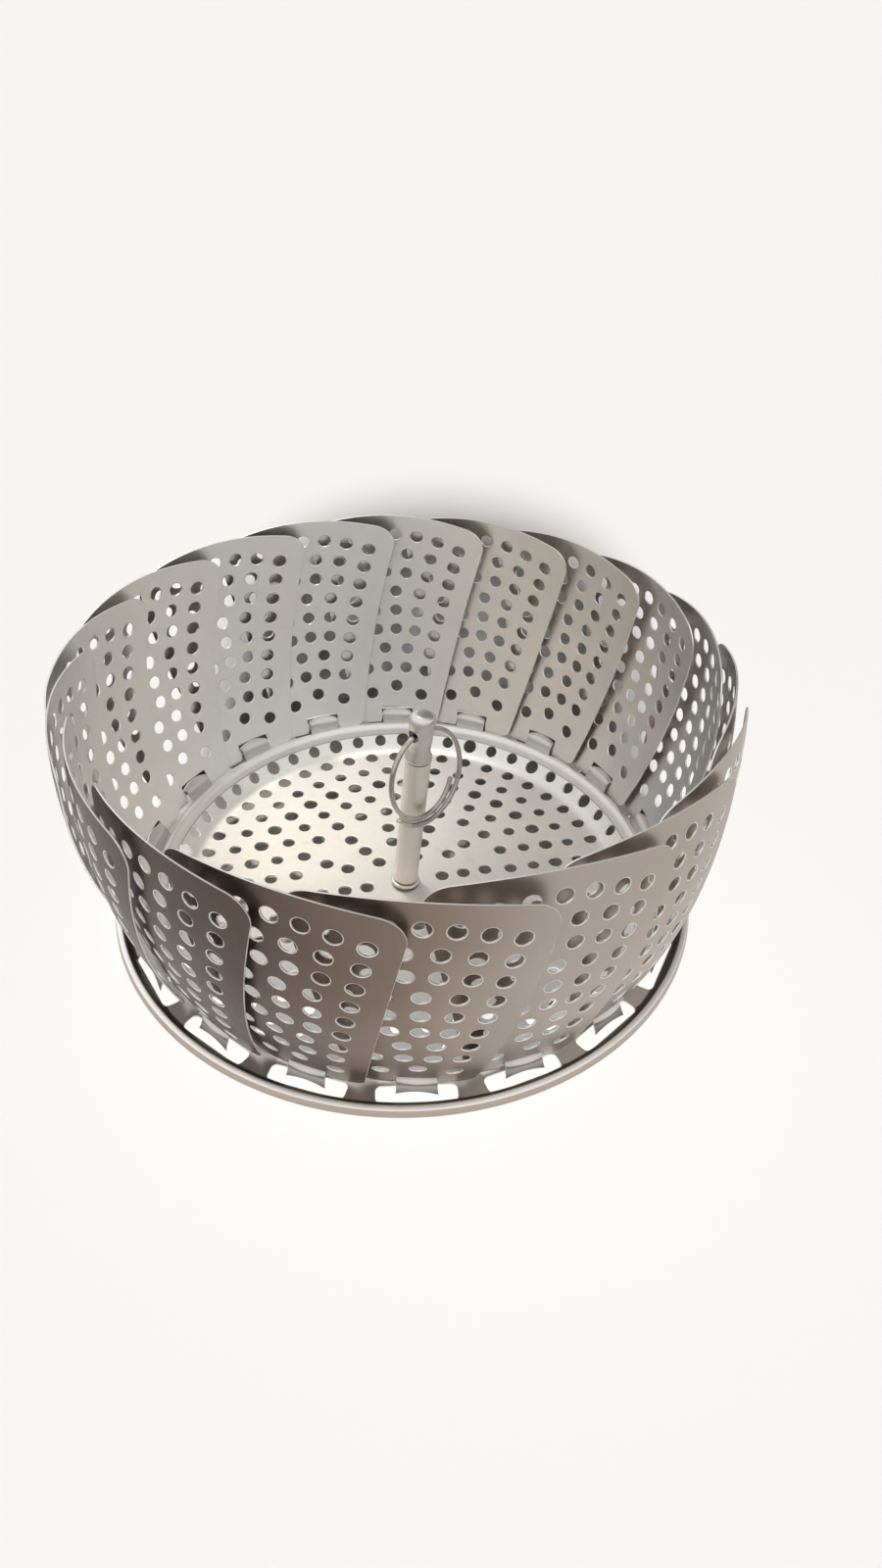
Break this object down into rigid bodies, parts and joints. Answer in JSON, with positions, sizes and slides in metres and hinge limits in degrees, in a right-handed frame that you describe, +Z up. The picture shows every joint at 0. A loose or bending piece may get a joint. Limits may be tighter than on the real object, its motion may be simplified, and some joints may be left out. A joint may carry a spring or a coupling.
{
  "type": "folding steamer basket",
  "caption": "Folding steamer basket: perforated dished base, overlapping hinged leaves forming a bowl, centre post with a lift ring, and short folding legs.",
  "frame": {"origin": "on the ground under the centre of the basket, between the feet", "axes": "+Z up along the basket's axis; the picture looks along +Y from above"},
  "size_m": [0.1455, 0.1475, 0.0825],
  "materials": {
    "base_steel": "satin stamped stainless steel",
    "leaf_steel": "satin stainless sheet with fine lengthwise brushing",
    "post_steel": "drawn stainless tube, warm with heat stain low down",
    "bright_steel": "polished stainless steel",
    "leg_steel": "satin stainless strip"
  },
  "bodies": {
    "base": {"base_plate": "base_steel", "post_shaft": "post_steel", "post_head": "bright_steel", "post_collar": "base_steel", "post_nut": "bright_steel", "leg_bracket_1": "leg_steel", "leg_bracket_2": "leg_steel", "leg_bracket_3": "leg_steel", "leg_pin_1": "bright_steel", "leg_pin_2": "bright_steel", "leg_pin_3": "bright_steel"},
    "leaf_01": {"leaf_01": "leaf_steel"},
    "leaf_02": {"leaf_02": "leaf_steel"},
    "leaf_03": {"leaf_03": "leaf_steel"},
    "leaf_04": {"leaf_04": "leaf_steel"},
    "leaf_05": {"leaf_05": "leaf_steel"},
    "leaf_06": {"leaf_06": "leaf_steel"},
    "leaf_07": {"leaf_07": "leaf_steel"},
    "leaf_08": {"leaf_08": "leaf_steel"},
    "leaf_09": {"leaf_09": "leaf_steel"},
    "leaf_10": {"leaf_10": "leaf_steel"},
    "leaf_11": {"leaf_11": "leaf_steel"},
    "leaf_12": {"leaf_12": "leaf_steel"},
    "leaf_13": {"leaf_13": "leaf_steel"},
    "leaf_14": {"leaf_14": "leaf_steel"},
    "leaf_15": {"leaf_15": "leaf_steel"},
    "leaf_16": {"leaf_16": "leaf_steel"},
    "leaf_17": {"leaf_17": "leaf_steel"},
    "leaf_18": {"leaf_18": "leaf_steel"},
    "lift_ring": {"lift_ring": "bright_steel"},
    "leg_1": {"leg_1": "leg_steel"},
    "leg_2": {"leg_2": "leg_steel"},
    "leg_3": {"leg_3": "leg_steel"}
  },
  "joints": [
    {"name": "leaf_01_fold", "type": "hinge", "parent": "base", "child": "leaf_01", "pos_m": [0.0613, 0.0162, 0.0234], "axis": [-0.2027, 0.9775, 0.0589], "range_deg": [-60, 22]},
    {"name": "leaf_02_fold", "type": "hinge", "parent": "base", "child": "leaf_02", "pos_m": [0.05206, 0.03618, 0.0234], "axis": [-0.5248, 0.8492, 0.0589], "range_deg": [-60, 22]},
    {"name": "leaf_03_fold", "type": "hinge", "parent": "base", "child": "leaf_03", "pos_m": [0.03655, 0.05181, 0.0234], "axis": [-0.7836, 0.6185, 0.0589], "range_deg": [-60, 22]},
    {"name": "leaf_04_fold", "type": "hinge", "parent": "base", "child": "leaf_04", "pos_m": [0.01662, 0.06118, 0.0234], "axis": [-0.9479, 0.3132, 0.0589], "range_deg": [-60, 22]},
    {"name": "leaf_05_fold", "type": "hinge", "parent": "base", "child": "leaf_05", "pos_m": [-0.0053, 0.06318, 0.0234], "axis": [-0.9978, -0.0299, 0.0589], "range_deg": [-60, 22]},
    {"name": "leaf_06_fold", "type": "hinge", "parent": "base", "child": "leaf_06", "pos_m": [-0.02659, 0.05755, 0.0234], "axis": [-0.9274, -0.3693, 0.0589], "range_deg": [-60, 22]},
    {"name": "leaf_07_fold", "type": "hinge", "parent": "base", "child": "leaf_07", "pos_m": [-0.04467, 0.04499, 0.0234], "axis": [-0.7452, -0.6643, 0.0589], "range_deg": [-60, 22]},
    {"name": "leaf_08_fold", "type": "hinge", "parent": "base", "child": "leaf_08", "pos_m": [-0.05737, 0.02699, 0.0234], "axis": [-0.473, -0.8791, 0.0589], "range_deg": [-60, 22]},
    {"name": "leaf_09_fold", "type": "hinge", "parent": "base", "child": "leaf_09", "pos_m": [-0.06314, 0.00575, 0.0234], "axis": [-0.1439, -0.9878, 0.0589], "range_deg": [-60, 22]},
    {"name": "leaf_10_fold", "type": "hinge", "parent": "base", "child": "leaf_10", "pos_m": [-0.0613, -0.0162, 0.0234], "axis": [0.2027, -0.9775, 0.0589], "range_deg": [-60, 22]},
    {"name": "leaf_11_fold", "type": "hinge", "parent": "base", "child": "leaf_11", "pos_m": [-0.05206, -0.03618, 0.0234], "axis": [0.5248, -0.8492, 0.0589], "range_deg": [-60, 22]},
    {"name": "leaf_12_fold", "type": "hinge", "parent": "base", "child": "leaf_12", "pos_m": [-0.03655, -0.05181, 0.0234], "axis": [0.7836, -0.6185, 0.0589], "range_deg": [-60, 22]},
    {"name": "leaf_13_fold", "type": "hinge", "parent": "base", "child": "leaf_13", "pos_m": [-0.01662, -0.06118, 0.0234], "axis": [0.9479, -0.3132, 0.0589], "range_deg": [-60, 22]},
    {"name": "leaf_14_fold", "type": "hinge", "parent": "base", "child": "leaf_14", "pos_m": [0.0053, -0.06318, 0.0234], "axis": [0.9978, 0.0299, 0.0589], "range_deg": [-60, 22]},
    {"name": "leaf_15_fold", "type": "hinge", "parent": "base", "child": "leaf_15", "pos_m": [0.02659, -0.05755, 0.0234], "axis": [0.9274, 0.3693, 0.0589], "range_deg": [-60, 22]},
    {"name": "leaf_16_fold", "type": "hinge", "parent": "base", "child": "leaf_16", "pos_m": [0.04467, -0.04499, 0.0234], "axis": [0.7452, 0.6643, 0.0589], "range_deg": [-60, 22]},
    {"name": "leaf_17_fold", "type": "hinge", "parent": "base", "child": "leaf_17", "pos_m": [0.05737, -0.02699, 0.0234], "axis": [0.473, 0.8791, 0.0589], "range_deg": [-60, 22]},
    {"name": "leaf_18_fold", "type": "hinge", "parent": "base", "child": "leaf_18", "pos_m": [0.06314, -0.00575, 0.0234], "axis": [0.1439, 0.9878, 0.0589], "range_deg": [-60, 22]},
    {"name": "lift_ring_swing", "type": "hinge", "parent": "base", "child": "lift_ring", "pos_m": [0.00349, 0, 0.06307], "axis": [-0.6685, -0.742, 0.0503], "range_deg": [0, 332]},
    {"name": "leg_1_fold", "type": "hinge", "parent": "base", "child": "leg_1", "pos_m": [0, 0.038, 0.0129], "axis": [-1, 0, 0], "range_deg": [0, 95]},
    {"name": "leg_2_fold", "type": "hinge", "parent": "base", "child": "leg_2", "pos_m": [-0.03291, -0.019, 0.0129], "axis": [0.5, -0.866, 0], "range_deg": [0, 95]},
    {"name": "leg_3_fold", "type": "hinge", "parent": "base", "child": "leg_3", "pos_m": [0.03291, -0.019, 0.0129], "axis": [0.5, 0.866, 0], "range_deg": [0, 95]}
  ],
  "couplings": [
    {"joint": "leaf_02_fold", "follows": "leaf_01_fold", "ratio": 1},
    {"joint": "leaf_03_fold", "follows": "leaf_01_fold", "ratio": 1},
    {"joint": "leaf_04_fold", "follows": "leaf_01_fold", "ratio": 1},
    {"joint": "leaf_05_fold", "follows": "leaf_01_fold", "ratio": 1},
    {"joint": "leaf_06_fold", "follows": "leaf_01_fold", "ratio": 1},
    {"joint": "leaf_07_fold", "follows": "leaf_01_fold", "ratio": 1},
    {"joint": "leaf_08_fold", "follows": "leaf_01_fold", "ratio": 1},
    {"joint": "leaf_09_fold", "follows": "leaf_01_fold", "ratio": 1},
    {"joint": "leaf_10_fold", "follows": "leaf_01_fold", "ratio": 1},
    {"joint": "leaf_11_fold", "follows": "leaf_01_fold", "ratio": 1},
    {"joint": "leaf_12_fold", "follows": "leaf_01_fold", "ratio": 1},
    {"joint": "leaf_13_fold", "follows": "leaf_01_fold", "ratio": 1},
    {"joint": "leaf_14_fold", "follows": "leaf_01_fold", "ratio": 1},
    {"joint": "leaf_15_fold", "follows": "leaf_01_fold", "ratio": 1},
    {"joint": "leaf_16_fold", "follows": "leaf_01_fold", "ratio": 1},
    {"joint": "leaf_17_fold", "follows": "leaf_01_fold", "ratio": 1},
    {"joint": "leaf_18_fold", "follows": "leaf_01_fold", "ratio": 1}
  ]
}
